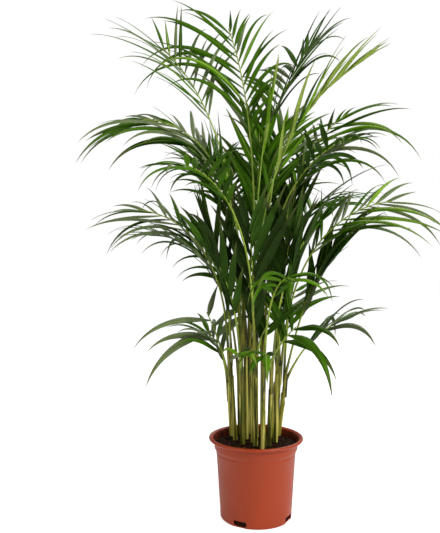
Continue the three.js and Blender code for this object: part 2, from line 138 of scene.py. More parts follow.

# Each frond's cane, where it heads, its first lean, how far it arches over, the length of its bare
# stalk and of its blade, and its longest leaflet, with what differs from its tier. Roll turns the
# frond about its stem. The leaflets of a lopsided frond are longer and stiffer on its left, or on
# its right with a minus. Towards the end of a frond given painted end light, its leaflets take
# fresher greens: painted light that stands for light shining through them.
FRONDS = {
    "top": [
        (
            12, 135, 0, 24, 515, 335, 256,
            dict(bend=2.6, roll=-55, spread=41, lift=12, pairs=14, width=14, droop=2, lopsided=0.34),
        ),
        (11, 160, 4, 42, 590, 260, 260, dict(roll=-35, width=11, spread=50, pairs=11, droop=0.8, wax=0.45)),
        (4, 20, 0, 42, 580, 290, 250, dict(width=16, spread=58, pairs=14, wax=0.25)),
        (15, 350, 1, 58, 450, 350, 215, dict(bend=2, spread=26, width=14, pairs=14, droop=0.8, tone=5)),
        (15, 10, 2, 10, 490, 200, 150, dict(spread=9, width=17, pairs=5, lift=5, droop=0.1, tone=4)),
    ],
    "upper": [
        (
            11, 185, 2, 102, 400, 320, 246,
            dict(
                bend=2.9, pairs=14, spread=50, roll=-38, lift=6, droop=1.45, lopsided=0.36,
                tone=1, wax=0.5,
            ),
        ),
        (
            9, 355, 0, 56, 410, 280, 210,
            dict(bend=2.6, roll=42, spread=54, lift=4, width=14, droop=1.9, lopsided=-0.4, wax=0.25),
        ),
        (14, 140, 2, 40, 350, 220, 180, dict(roll=-20, spread=40)),
        (7, 55, 2, 34, 380, 230, 200, dict(roll=25, spread=40)),
        (2, 100, 3, 60, 360, 290, 240, {}),
        (6, 70, 3, 58, 360, 300, 250, {}),
        (5, 228, 1, 96, 400, 200, 160, dict(spread=60, pairs=9, droop=3)),
        (7, 318, 1, 84, 420, 200, 160, dict(spread=60, pairs=9, droop=3.2, tone=1)),
    ],
    "middle": [
        (
            1, 180, 3, 86, 230, 270, 215,
            dict(lift=8, width=14, spread=52, roll=-30, droop=1.3, lopsided=0.2, tone=1, wax=0.6),
        ),
        (
            13, 350, 6, 80, 290, 255, 240,
            dict(
                lift=4, width=14, spread=50, roll=38, droop=1.25, lopsided=-0.2, wax=0.5,
                # Painted light: this frond's end leaflets take fresher greens, as light shining through
                # them.
                tone=2.5, ripe=3,
            ),
        ),
        (
            10, 345, 13, 24, 170, 240, 200,
            dict(spread=24, width=24, pairs=9, tone=1, roll=40, lopsided=-0.25),
        ),
        (3, 215, 4, 50, 150, 240, 200, dict(spread=22, width=26, pairs=6, tone=1, wax=0.1)),
        (8, 335, 4, 44, 190, 240, 200, dict(spread=26, width=24, pairs=7, tone=1, wax=0.2)),
        (16, 285, 3, 104, 220, 150, 150, dict(spread=62, width=20, pairs=5, droop=4.5)),
        (6, 35, 4, 88, 260, 280, 260, {}),
        (4, 80, 4, 84, 280, 280, 280, {}),
        (2, 168, 6, 82, 190, 270, 250, dict(lift=8, width=13, spread=48, droop=1.3, wax=0.65)),
    ],
    "lower": [
        (0, 180, 12, 14, 110, 90, 240, dict(spread=80, pairs=3, roll=-60, droop=1.5, lopsided=0.25, wax=1)),
        (10, 0, 24, 46, 90, 140, 240, dict(spread=56, droop=1.3, lift=15, wax=0.8)),
        (3, 262, 6, 100, 50, 60, 110, dict(spread=26, droop=4.5, pairs=2, tone=3)),
        (
            16, 345, 18, 30, 100, 60, 230,
            dict(spread=72, width=24, pairs=3, droop=1.7, roll=50, tone=1, wax=0),
        ),
        (10, 72, 8, 60, 120, 180, 200, {}),
        (4, 114, 8, 60, 120, 180, 200, {}),
        (0, 150, 6, 40, 60, 90, 200, dict(droop=1.8, wax=0.5)),
        (5, 30, 6, 40, 40, 60, 190, dict(spread=64, width=28, pairs=2, droop=0.7, tone=1, wax=0)),
        (8, 250, 8, 100, 60, 50, 130, dict(spread=30, width=22, pairs=2, droop=4.5, tone=3)),
    ],
    "inner": [
        (5, 250, 2, 14, 60, 280, 220, {}),
        (13, 300, 3, 18, 80, 280, 220, {}),
        (9, 40, 3, 20, 200, 290, 210, {}),
        (1, 200, 3, 20, 100, 280, 210, {}),
        (12, 80, 2, 10, 280, 290, 220, dict(tone=2)),
        (14, 170, 2, 14, 270, 260, 200, dict(tone=2)),
    ],
}
FROND_KEYS = ("cane", "heading", "lean", "arch", "stalk", "blade", "leaf")
# What a frond is like where its tier and its own row don't say. Wax is its share of waxy leaflets,
# whose grey-green faces are a painted sheen.
HABIT = dict(roll=0, lopsided=0, ripe=0, wax=0.12)

# How far chance turns a leaflet's spread, lift and twist, in degrees, by what share it changes its
# length, width and droop, and how far it sways it to a side.
LEAFLET_CHANCE = dict(spread=8, lift=14, length=0.13, width=0.12, droop=0.5, sway=0.5, twist=38)
# The length of leaflet that droop and sway are given for.
BEND_LENGTH = 300

# The greens of the leaflets' faces, from the shaded middle of the crown to the youngest frond. The
# first, shade, is painted shade for leaflets deep in the crown. Last comes a grey-green face whose
# painted sheen stands for the light that its waxy skin mirrors.
LEAF_TONES = ("shade", "deep", "mid", "fresh", "bright", "young", "waxy")
# The green that the leaflets' waxy skin gives to what it mirrors.
LEAF_SHEEN = (0.55, 0.85, 0.25)
# The tones with a pale midrib. The others have a dark one.
PALE_RIBBED = ("fresh", "bright", "young")


def frond_plans():
    """One plan for each frond: its tier's habit, with its own values over it."""
    plans = []
    for tier, rows in FRONDS.items():
        for place, (*sizes, own) in enumerate(rows, 1):
            plan = {"tier": tier, "name": f"{tier}_frond_{place}", "index": len(plans)}
            plans.append(plan | HABIT | TIERS[tier] | dict(zip(FROND_KEYS, sizes)) | own)
    return plans


PLANS = frond_plans()


def steady(a, b, c):
    """A steady number from 0 to 1 for these three keys."""
    value = math.sin(a * 12.9898 + b * 78.233 + c * 37.719) * 43758.5453
    return value - math.floor(value)


def jitter(amount, a, b, c):
    return amount * (2 * steady(a, b, c) - 1)


def blend(low, high, share):
    return low + (high - low) * share


def bounded(value, low=0.0, high=1.0):
    return min(high, max(low, value))


def heading_vector(degrees):
    return Vector((math.cos(math.radians(degrees)), math.sin(math.radians(degrees)), 0))


# Growth of the canes, stems and leaflets


def cane_point(cane, share):
    """A point of a cane's axis, at a share of its height. It leans out and straightens a little."""
    rise = cane["height"] * share
    out = rise * math.tan(math.radians(cane["lean"])) * (1 - 0.15 * share)
    return Vector((cane["x"], cane["y"], SOIL_Z + FIT + rise)) + heading_vector(cane["heading"]) * out


def cane_radius(share):
    """A cane's radius at a share of its height: swollen at its foot, then evenly tapering."""
    swell = math.exp(-share * 9)
    return CANE_TIP_RADIUS + (CANE_FOOT_RADIUS - CANE_TIP_RADIUS) * blend(0.5 * (1 - share), 1, swell)


def stem_frame(frond, share):
    """The direction of a frond's stem at a share of its length, the way its face looks, and its side."""
    tilt = math.radians(frond["lean"] + frond["arch"] * share ** frond["bend"])
    outward = heading_vector(frond["heading"])
    roll = math.radians(frond["roll"])
    along = outward * math.sin(tilt) + UP * math.cos(tilt)
    level = outward * -math.cos(tilt) + UP * math.sin(tilt)
    across = along.cross(level)
    face = level * math.cos(roll) + across * math.sin(roll)
    side = across * math.cos(roll) - level * math.sin(roll)
    return along, face, side


def seat_heading(frond):
    """Which way from the middle of its cane's tip a stem stands."""
    neighbours = [plan for plan in PLANS if plan["cane"] == frond["cane"]]
    neighbours.sort(key=lambda plan: -plan["lean"] - plan["arch"])
    return neighbours[0]["heading"] + 360 * neighbours.index(frond) / len(neighbours)


def grow_stem(frond):
    """The stem from its cane's tip to the end of the blade: points, each with its frame."""
    start = cane_point(CANES[frond["cane"]], 1) + heading_vector(seat_heading(frond)) * STEM_OFFSET
    point = start + UP * FIT
    step = (frond["stalk"] + frond["blade"]) / STEM_STEPS
    stem = [(point.copy(), *stem_frame(frond, 0))]
    for i in range(STEM_STEPS):
        point += stem_frame(frond, (i + 0.5) / STEM_STEPS)[0] * step
        stem.append((point.copy(), *stem_frame(frond, (i + 1) / STEM_STEPS)))
    return stem


def along_stem(stem, place):
    """The stem's point, direction, face and side between two of its steps."""
    before = min(int(place), len(stem) - 2)
    pairs = zip(stem[before], stem[before + 1])
    return [low.lerp(high, place - before) for low, high in pairs]


def length_share(share):
    """Leaflets are shorter near the stalk, longest at the middle of the blade, short at its end."""
    if share < 0.35:
        return 0.65 + share
    if share < 0.6:
        return 1
    return 1 - 1.5 * (share - 0.6)


def spread_share(share):
    """Leaflets lie along the stem near the stalk and at the end, and stand out between them."""
    return 0.5 + 1.9 * share - 2.1 * share * share


def half_width(width, share):
    """Half of a leaflet's width at a share of its length: a narrow root, and a long fine tip."""
    if share < 0.3:
        return width / 2 * (0.35 + 0.65 * math.sin(share / 0.3 * math.pi / 2))
    return width / 2 * (1 - ((share - 0.3) / 0.7) ** 1.4)


def plan_leaflet(frond, stem, pair, side):
    """One leaflet of a frond: where its root sits, the way it starts, and its sizes."""
    index, key = frond["index"], 2 * pair + (side > 0)
    first, stagger, last = 0.4, 0.18, 0.985
    share = min(last, (pair + first + stagger * side) / frond["pairs"])
    whole = frond["stalk"] + frond["blade"]
    place = (frond["stalk"] + frond["blade"] * share) / whole * STEM_STEPS
    root, along, face, across = along_stem(stem, place)
    along.normalize()
    chance = {}
    for draw, (what, most) in enumerate(LEAFLET_CHANCE.items(), 1):
        chance[what] = jitter(most, index, key, draw)
    spread = math.radians(frond["spread"] * spread_share(share) + chance["spread"])
    lift = math.radians(frond["lift"] + chance["lift"])
    direction = along * math.cos(spread)
    direction += across * (math.sin(spread) * math.cos(lift) * side)
    direction += face * (math.sin(spread) * math.sin(lift))
    grown = length_share(share)
    favour = side * frond["lopsided"]
    return {
        "root": root,
        "direction": direction.normalized(),
        "across": along,
        "face": face,
        "length": frond["leaf"] * grown * (1 - favour) * (1 + chance["length"]),
        "width": frond["width"] * blend(0.75, 1, grown) * (1 + chance["width"]),
        "droop": frond["droop"] * (1 + favour) * (1 + chance["droop"]),
        "sway": chance["sway"],
        "twist": chance["twist"],
        "tone": leaflet_tone(frond, share, key),
    }


def leaflet_tone(frond, share, key):
    """A leaflet's place in LEAF_TONES: its frond's or a neighbour of it, more often the fresher one
    towards the frond's end, or the one with the painted sheen. A frond's painted end light makes its
    end leaflets fresher still, standing for light shining through them."""
    if steady(frond["index"], key, 9) < frond["wax"]:
        return LEAF_TONES.index("waxy")
    darker, fresher = 0.36, 0.92
    chance = steady(frond["index"], key, 8) + 0.3 * share
    # Painted light: a frond's end light makes its leaflets fresher towards its end.
    tone = frond["tone"] + (chance > fresher) - (chance < darker) + frond["ripe"] * max(0, share - 0.3)
    return int(bounded(tone, 0, LEAF_TONES.index("young")))


def leaflet_line(leaflet):
    """A leaflet's midline, which its own weight turns down, more so towards the thin tip: points,
    each with the way across the leaflet and the way under it."""
    step = leaflet["length"] / LEAFLET_STEPS
    direction, across = leaflet["direction"].copy(), leaflet["across"].copy()
    point = leaflet["root"].copy()
    turn = -1 if across.cross(direction).dot(leaflet["face"]) > 0 else 1
    line = []
    for i in range(LEAFLET_STEPS + 1):
        across = (across - direction * across.dot(direction)).normalized()
        line.append((point.copy(), across.copy(), across.cross(direction) * turn))
        share = (i + 0.5) / LEAFLET_STEPS
        point += direction * step
        down = direction * direction.z - UP
        weight = leaflet["droop"] * (0.6 + 2.2 * share * share) * step / BEND_LENGTH
        sideways = leaflet["sway"] * share * share * step / BEND_LENGTH
        direction = (direction + down * weight + across * sideways).normalized()
    return line


def add_object(name, data):
    made = bpy.data.objects.new(name, data)
    bpy.context.scene.collection.objects.link(made)
    return made


class Patchwork:
    """Points, faces and each face's finish, gathered into one mesh."""

    def __init__(self):
        self.points = []
        self.faces = []
        self.finishes = []
        self.places = []

    def loft(self, rings, finish=0, across=None):
        """Faces over a row of rings. A ring of one point closes an end, and a wider one gets a cap.
        The finish is a number, or a function of a face's ring and side. Across gives how far across
        the piece each point of a ring lies, where that isn't how far round it is."""
        finish_of = finish if callable(finish) else lambda ring, side: finish
        starts = []
        for number, ring in enumerate(rings):
            starts.append(len(self.points))
            self.points += ring
            along = number / (len(rings) - 1)
            round_it = across or [side / len(ring) for side in range(len(ring))]
            self.places += [(round_it[side], along) for side in range(len(ring))]
        for number in range(len(rings) - 1):
            low, high = len(rings[number]), len(rings[number + 1])
            sides = max(low, high)
            for side in range(sides):
                after = (side + 1) % sides
                corners = [starts[number] + side, starts[number] + after] if low > 1 else [starts[number]]
                above = starts[number + 1]
                corners += [above + after, above + side] if high > 1 else [above]
                self.faces.append(corners)
                self.finishes.append(finish_of(number, side))
        for number, turn in ((0, -1), (len(rings) - 1, 1)):
            count = len(rings[number])
            if count > 1:
                self.faces.append([starts[number] + side for side in range(count)][::turn])
                self.finishes.append(finish_of(min(number, len(rings) - 2), 0))

    def piece(self, name, finishes, crease=40):
        """The mesh as an object, with its finishes, smooth but for edges sharper than the crease."""
        mesh = bpy.data.meshes.new(name)
        mesh.from_pydata([point * MM for point in self.points], [], self.faces)
        for finish in finishes:
            mesh.materials.append(finish)
        mesh.polygons.foreach_set("material_index", self.finishes)
        corners = np.empty(len(mesh.loops), dtype=np.int32)
        mesh.loops.foreach_get("vertex_index", corners)
        layer = mesh.uv_layers.new(name="place")
        layer.data.foreach_set("uv", np.array(self.places, dtype=np.float32)[corners].ravel())
        shaped = bmesh.new()
        shaped.from_mesh(mesh)
        bmesh.ops.recalc_face_normals(shaped, faces=shaped.faces)
        shaped.to_mesh(mesh)
        shaped.free()
        mesh.polygons.foreach_set("use_smooth", [True] * len(mesh.polygons))
        mesh.set_sharp_from_angle(angle=math.radians(crease))
        return add_object(name, mesh)


def seat(piece, slot, *nodes):
    """The piece rides with the palm and stands for these solids. The slot is not used."""
    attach(piece, "root")
    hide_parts(*nodes)


# Shader building


class Signal:
    """A socket that varies over a surface. Arithmetic on it adds Math nodes."""

    def __init__(self, finish, socket):
        self.finish = finish
        self.socket = socket

    def math(self, operation, *values):
        return self.finish.node("ShaderNodeMath", {"operation": operation}, *values)

    def __add__(self, other):
        return self.math("ADD", self, other)

    __radd__ = __add__

    def __mul__(self, other):
        return self.math("MULTIPLY", self, other)

    __rmul__ = __mul__

    def __sub__(self, other):
        return self.math("SUBTRACT", self, other)

    def __rsub__(self, other):
        return self.math("SUBTRACT", other, self)

    def sine(self):
        return self.math("SINE", self)

    def ramp(self, low, high):
        """0 below low, 1 above high, and even between them."""
        return self.finish.node("ShaderNodeMapRange", {"clamp": True}, self, low, high, 0, 1)


class Finish:
    """A material on the way to being built round one Principled shader."""

    def __init__(self, name, **constants):
        self.material = bpy.data.materials.new(name)
        self.material.use_nodes = True
        self.tree = self.material.node_tree
        self.shader = self.tree.nodes["Principled BSDF"]
        for socket, value in constants.items():
            self.shader.inputs[socket.replace("_", " ").title().replace("Ior", "IOR")].default_value = value

    def node(self, kind, settings=None, *values, output=0, **named):
        """Any node: its type, settings, and the values or links of its sockets, by place or by name."""
        made = self.tree.nodes.new(kind)
        for setting, value in (settings or {}).items():
            setattr(made, setting, value)
        for socket, value in [*enumerate(values), *named.items()]:
            self.feed(made.inputs[socket], value)
        return Signal(self, made.outputs[output])

    def feed(self, socket, value):
        if isinstance(value, Signal):
            self.tree.links.new(value.socket, socket)
        elif isinstance(value, (int, float)):
            socket.default_value = value
        else:
            socket.default_value = (*value[:3], 1.0) if socket.type == "RGBA" else value

    def mix(self, factor, low, high):
        """The colour low where the factor is 0, and high where it is 1."""
        made = self.tree.nodes.new("ShaderNodeMix")
        made.data_type = "RGBA"
        for socket, value in ((0, factor), (6, low), (7, high)):
            self.feed(made.inputs[socket], value)
        return Signal(self, made.outputs[2])

    def cloud(self, scale, detail=3, stretch=(1, 1, 1)):
        """Soft noise from 0 to 1. The scale is in turns to the metre, times the stretch of each axis."""
        place = self.node("ShaderNodeTexCoord", output="Object")
        where = self.node("ShaderNodeVectorMath", {"operation": "MULTIPLY"}, place, stretch)
        settings = {"noise_dimensions": "3D"}
        return self.node("ShaderNodeTexNoise", settings, Vector=where, Scale=scale, Detail=detail)

    def place(self, axis):
        """How far across (X) or along (Y) its leaflet or stalk a spot lies, from 0 to 1."""
        place = self.node("ShaderNodeUVMap", {"uv_map": "place"})
        return self.node("ShaderNodeSeparateXYZ", {}, place, output=axis)

    def surface(self, colour, roughness=None, height=None, depth=0.0):
        """Links what varies: the colour, the roughness, and a relief of this depth in metres."""
        self.feed(self.shader.inputs["Base Color"], colour)
        if roughness is not None:
            self.feed(self.shader.inputs["Roughness"], roughness)
        if height is not None:
            normal = self.node("ShaderNodeBump", {}, Strength=1.0, Distance=depth, Height=height)
            self.feed(self.shader.inputs["Normal"], normal)
        return self.material


def tint(red, green, blue):
    """A colour as seen, from 0 to 255, in the scene's linear light."""
    return tuple(((part / 255 + 0.055) / 1.055) ** 2.4 for part in (red, green, blue))


def scaled(colour, share):
    return tuple(part * share for part in colour[:3])


# What a user would change


def colour_property(name, description, default):
    return bpy.props.FloatVectorProperty(
        name=name, description=description, subtype="COLOR", default=default, min=0, max=1,
    )


def number_property(name, description, default, **more):
    more = {"min": 0} | more
    return bpy.props.FloatProperty(name=name, description=description, default=default, **more)


def tone_property(name, *colour):
    return colour_property(name, f"{name} of the leaflets' faces", tint(*colour))


class PalmPotSettings(bpy.types.PropertyGroup):
    plastic: colour_property("Plastic", "Colour of the moulded plastic", tint(176, 62, 14))
    plastic_roughness: number_property("Roughness", "How matt the plastic is", 0.3, max=1, subtype="FACTOR")
    soil: colour_property("Soil", "Colour of the moist potting mix", tint(46, 26, 16))
    soil_relief: number_property("Soil relief", "How uneven the soil is", 0.004, max=0.01, unit="LENGTH")
    crumbs: bpy.props.IntProperty(
        name="Crumbs", description="Loose crumbs on the soil", default=520, min=0, max=2000,
    )


class PalmPlantSettings(bpy.types.PropertyGroup):
    # Painted shade: the green of leaflets deep in the shaded middle of the crown.
    shade: tone_property("Shade green", 26, 50, 3)
    deep: tone_property("Deep green", 43, 78, 5)
    mid: tone_property("Middle green", 66, 112, 8)
    fresh: tone_property("Fresh green", 92, 144, 12)
    bright: tone_property("Bright green", 124, 176, 20)
    young: tone_property("Young green", 166, 190, 84)
    # Painted sheen: the grey-green of light mirrored on waxy faces.
    waxy: tone_property("Waxy green", 120, 134, 94)
    bloom: colour_property("Bloom", "Grey-green of the bloom under the leaflets", tint(120, 138, 92))
    bloom_share: number_property("Bloom share", "How strong the bloom is", 0.09, max=1, subtype="FACTOR")
    cane: colour_property("Cane", "Olive yellow of the canes", tint(164, 158, 52))
    stalk: colour_property("Stalk", "Pale green of the leaf stalks", tint(160, 184, 62))
    leaf_thickness: number_property(
        "Leaf thickness", "Thickness of a leaflet beside its midrib", 0.0005,
        min=0.0002, max=0.002, unit="LENGTH",
    )


class PalmStageSettings(bpy.types.PropertyGroup):
    floor: colour_property("Floor", "Colour of the pale floor", (0.86, 0.86, 0.86))
    floor_glow: number_property("Floor glow", "How much light a lit studio floor gives back", 0.8)
    key_power: number_property("Key light", "Power of the large light to the right", 92, unit="POWER")
    fill_power: number_property("Fill light", "Power of the softer light to the left", 18, unit="POWER")
    back_power: number_property("Back light", "Power of the light behind the crown", 30, unit="POWER")
    sky: number_property("Sky", "Strength of the even light from all round", 0.24)
    backdrop: number_property("Backdrop", "Brightness of the plain backdrop", 1.0)


# Pot and soil


def plastic_finish(settings):
    """Moulded plastic: an even colour with a fine grain, faint flow marks and a few scuffs."""
    finish = Finish("pot_plastic", specular_ior_level=0.45)
    flow = finish.cloud(9, stretch=(1, 1, 0.35))
    grain = finish.cloud(900, detail=2)
    scuffs = finish.cloud(60, detail=5, stretch=(1, 1, 3)).ramp(0.62, 0.72)
    body = finish.mix(flow.ramp(0.3, 0.7), scaled(settings.plastic, 0.9), scaled(settings.plastic, 1.06))
    colour = finish.mix(scuffs * 0.04, body, tint(206, 140, 112))
    roughness = settings.plastic_roughness + flow * 0.06 + scuffs * 0.1 + grain * 0.04
    return finish.surface(colour, roughness, grain + scuffs * 0.1, 0.0001)


def inner_finish(settings):
    """The plastic inside the pot, darkened as painted shade, and dulled by a layer of splashed soil that
    is partly real soil and partly painted shade.
    """
    finish = Finish("pot_inside", specular_ior_level=0.2)
    soil_film_and_shade = finish.cloud(70, detail=5).ramp(0.44, 0.68)
    # Painted shade: plastic at 0.4 of its colour, patched with dark soil colour that is partly real soil.
    colour = finish.mix(soil_film_and_shade, scaled(settings.plastic, 0.4), scaled(settings.soil, 0.8))
    return finish.surface(colour, 0.6 + soil_film_and_shade * 0.25, soil_film_and_shade, 0.0002)


def arc(centre, radius, start, end, steps):
    """Points of a profile on a round stretch, from one angle to another."""
    angles = [math.radians(blend(start, end, i / steps)) for i in range(steps + 1)]
    return [(centre[0] + radius * math.cos(a), centre[1] + radius * math.sin(a)) for a in angles]


def pot_profile():
    """Radius and height of the pot's section, from the middle of its underside round to its floor."""
    ring, recess, rounding = 9, 1.4, 4
    foot = POT_FOOT_RADIUS - POT_FOOT_ROUNDING
    inside = POT_NECK_RADIUS - POT_WALL
    lip = POT_LIP_RADIUS - rounding
    slope = (POT_SHOULDER_RADIUS - POT_FOOT_RADIUS) / (SHOULDER_Z - WALL_START_Z)

    def wall(z, out=0.0):
        return POT_FOOT_RADIUS + slope * (z - WALL_START_Z) + out, z

    return [
        (0, recess),
        (foot - ring, recess),
        (foot - ring + recess, 0),
        *arc((foot, POT_FOOT_ROUNDING), POT_FOOT_ROUNDING, -90, -8, 5),
        wall(8, 0.2),
        wall(14.5, 0.25),
        wall(15.5, -0.15),
        wall(60),
        wall(110),
        wall(SHOULDER_Z - 8),
        wall(SHOULDER_Z - 7, 0.5),
        wall(SHOULDER_Z - 4, 0.6),
        wall(SHOULDER_Z - 3),
        (POT_SHOULDER_RADIUS, SHOULDER_Z),
        (POT_SHOULDER_RADIUS + 1.2, SHOULDER_Z + 2.2),
        (POT_NECK_RADIUS - 1.6, NECK_Z - 2.2),
        (POT_NECK_RADIUS - 0.3, NECK_Z),
        (POT_NECK_RADIUS + 0.1, NECK_Z + 2.5),
        (POT_NECK_RADIUS + 0.4, LIP_UNDERSIDE_Z - 8),
        (POT_NECK_RADIUS + 0.5, LIP_UNDERSIDE_Z - 2),
        (POT_NECK_RADIUS + 1, LIP_UNDERSIDE_Z + 0.3),
        (POT_NECK_RADIUS + 4, LIP_UNDERSIDE_Z + 0.3),
        (lip, LIP_UNDERSIDE_Z + 1.5),
        *arc((lip, POT_HEIGHT - rounding), rounding, -60, 92, 10),
        (POT_NECK_RADIUS + 6, POT_HEIGHT - 1.2),
        (POT_NECK_RADIUS + 3.4, POT_HEIGHT - 4.5),
        (inside + 1.2, LIP_UNDERSIDE_Z - 2),
        (inside + 0.3, LIP_UNDERSIDE_Z - 8),
        (inside, NECK_Z + 3),
        (inside - 1.4, NECK_Z - 1.5),
        (POT_SHOULDER_RADIUS - POT_WALL, SHOULDER_Z),
        (POT_FOOT_RADIUS - POT_WALL, WALL_START_Z),
        (foot, POT_FLOOR),
        (0, POT_FLOOR),
    ]


def turned_rings(profile, sides):
    """Rings of a profile turned about the vertical axis. A radius of nought gives a single point."""
    rings = []
    for radius, z in profile:
        headings = [360 * side / sides for side in range(sides)] if radius > 0 else [0]
        rings.append([heading_vector(heading) * radius + UP * z for heading in headings])
    return rings


def cut_notches(pot):
    """Cuts the drainage notches out of the foot, with slightly rounded corners."""
    proud, below, rounding = 6, 10, 1.6
    cutters = []
    for number, heading in enumerate(NOTCH_HEADINGS):
        mesh = bpy.data.meshes.new(f"notch_{number}")
        shaped = bmesh.new()
        bmesh.ops.create_cube(shaped, size=1)
        size = Vector((NOTCH_DEPTH + proud, NOTCH_WIDTH, NOTCH_HEIGHT + below)) * MM
        bmesh.ops.scale(shaped, vec=size, verts=shaped.verts)
        inward = [edge for edge in shaped.edges if abs((edge.verts[0].co - edge.verts[1].co).x) > MM]
        bmesh.ops.bevel(shaped, geom=inward, offset=rounding * MM, segments=3, affect="EDGES")
        shaped.to_mesh(mesh)
        shaped.free()
        out = heading_vector(heading) * (POT_FOOT_RADIUS + proud / 2)
        cutter = add_object(mesh.name, mesh)
        cutter.location = (out + UP * (NOTCH_HEIGHT - below) / 2) * MM
        cutter.rotation_euler.z = math.radians(heading)
        cut = pot.modifiers.new(mesh.name, "BOOLEAN")
        cut.object, cut.operation, cut.solver = cutter, "DIFFERENCE", "EXACT"
        cutters.append(cutter)
    bpy.context.view_layer.update()
    whole = bpy.data.meshes.new_from_object(pot.evaluated_get(bpy.context.evaluated_depsgraph_get()))
    pot.modifiers.clear()
    pot.data = whole
    for cutter in cutters:
        bpy.data.objects.remove(cutter)


class PALM_OT_pot(bpy.types.Operator):
    """Make the moulded nursery pot with its rolled lip, bands and drainage notches"""

    bl_idname = "palm.pot"
    bl_label = "Pot"

    def execute(self, context):
        settings = context.scene.palm_pot
        profile = pot_profile()
        brim = profile.index(max(profile, key=lambda point: point[1])) + 1
        patchwork = Patchwork()
        patchwork.loft(turned_rings(profile, POT_SIDES), lambda ring, side: int(ring > brim))
        finishes = [plastic_finish(settings), inner_finish(settings)]
        pot = patchwork.piece("nursery_pot", finishes, crease=35)
        cut_notches(pot)
        seat(pot, "pot_plastic", "pot")
        return {"FINISHED"}


def soil_finish(settings, name, lightness):
    """Moist potting mix: dark, grainy, with paler fibres in it."""
    finish = Finish(name, specular_ior_level=0.1)
    grain = finish.cloud(420, detail=6)
    fibres = finish.cloud(160, stretch=(1, 6, 2)).ramp(0.66, 0.74)
    dark, pale = scaled(settings.soil, 0.35 * lightness), scaled(settings.soil, 1.7 * lightness)
    body = finish.mix(grain.ramp(0.3, 0.75), dark, pale)
    colour = finish.mix(fibres * 0.6, body, tint(138, 108, 80))
    return finish.surface(colour, 0.8 + grain * 0.2, grain, 0.0012)


def soil_height(settings, x, y):
    """The height of the soil's uneven top over this place, just under that of the solid."""
    broad, fine, sunk = 34, 9, 1.5
    bumps = 0.6 * relief_noise.noise(Vector((x, y, 3)) / broad)
    bumps += 0.5 * relief_noise.fractal(Vector((x, y, 9)) / fine, 0.8, 2.0, 4)
    return SOIL_Z - sunk + bumps * settings.soil_relief / MM


def soil_rings(settings):
    """The soil's top from its middle to the wall, then its side and the flat underneath."""
    inset = POT_WALL + 3 * FIT
    edge = POT_NECK_RADIUS - inset
    profile = [(edge * step / SOIL_STEPS, 0) for step in range(SOIL_STEPS + 1)]
    rings = []
    for ring in turned_rings(profile, SOIL_SIDES):
        rings.append([point + UP * soil_height(settings, point.x, point.y) for point in ring])
    foot = POT_FOOT_RADIUS - NOTCH_DEPTH / 2 - FIT
    below = [
        (edge, NECK_Z + 2),
        (POT_SHOULDER_RADIUS - inset, SHOULDER_Z),
        (foot, NOTCH_HEIGHT),
        (foot - 1, POT_FLOOR + FIT),
        (0, POT_FLOOR + FIT),
    ]
    return rings + turned_rings(below, SOIL_SIDES)


def lump_rings(centre, radius, key):
    """A small uneven crumb, squashed a little."""
    rows, sides, squash = 4, 6, 0.7
    rings = []
    for row in range(rows + 1):
        lift = math.pi * row / rows
        ring = []
        for side in range(sides if 0 < row < rows else 1):
            way = heading_vector(360 * side / sides + key) * math.sin(lift) - UP * math.cos(lift)
            swell = 1 + 0.45 * relief_noise.noise(way * 1.3 + Vector((key, 0, 0)))
            ring.append(centre + Vector((way.x, way.y, way.z * squash)) * radius * swell)
        rings.append(ring)
    return rings


class PALM_OT_soil(bpy.types.Operator):
    """Make the soil that fills the pot, with crumbs and bits of bark on it"""

    bl_idname = "palm.soil"
    bl_label = "Soil"

    def execute(self, context):
        settings = context.scene.palm_pot
        patchwork = Patchwork()
        patchwork.loft(soil_rings(settings))
        reach = POT_NECK_RADIUS - POT_WALL - 6
        for crumb in range(settings.crumbs):
            out, turn, growth, kind = [steady(crumb, draw, 1) for draw in (1, 2, 3, 4)]
            place = heading_vector(360 * turn) * reach * math.sqrt(out)
            radius = blend(CRUMB_SMALLEST, CRUMB_LARGEST, growth ** 3)
            place.z = soil_height(settings, place.x, place.y) + radius * 0.2
            patchwork.loft(lump_rings(place, radius, crumb), int(kind > 1 - BARK_SHARE))
        finishes = [soil_finish(settings, "potting_soil", 1), soil_finish(settings, "bark_crumb", 3.4)]
        seat(patchwork.piece("soil_bed", finishes, crease=60), "potting_soil", "soil")
        return {"FINISHED"}


# Canes and leaf stalks


def cane_finish(settings):
    """Smooth cane skin: olive yellow with green patches, long pale and dark stripes along it, the pale
    ones partly painted highlight and the dark ones partly painted shade, and faint dark specks.
    """
    finish = Finish("cane_skin", specular_ior_level=0.25)
    streaks_light_and_shade = finish.cloud(150, detail=4, stretch=(1, 1, 0.025))
    patches = finish.cloud(22, detail=2, stretch=(1, 1, 0.5))
    specks = finish.cloud(700, detail=2, stretch=(1, 1, 0.3)).ramp(0.66, 0.74)
    green = finish.mix(patches.ramp(0.35, 0.65), settings.cane, tint(100, 114, 20))
    # Pale stripes: partly the cane's own, partly painted highlight.
    pale = finish.mix(streaks_light_and_shade.ramp(0.52, 0.6) * 0.9, green, tint(232, 220, 116))
    # Dark stripes: partly the cane's own, partly painted shade between the canes.
    dark = finish.mix((1 - streaks_light_and_shade.ramp(0.4, 0.49)) * 0.9, pale, tint(38, 38, 2))
    colour = finish.mix(specks * 0.5, dark, tint(92, 70, 40))
    return finish.surface(colour, 0.42 + streaks_light_and_shade * 0.18, streaks_light_and_shade, 0.0004)


def sheath_finish():
    """The dry margin of an old leaf base: papery and straw-coloured."""
    finish = Finish("sheath_margin", specular_ior_level=0.3)
    fibres = finish.cloud(300, detail=4, stretch=(1, 1, 0.08))
    colour = finish.mix(fibres.ramp(0.3, 0.7), tint(150, 128, 78), tint(190, 176, 116))
    return finish.surface(colour, 0.6 + fibres * 0.2, fibres, 0.0004)


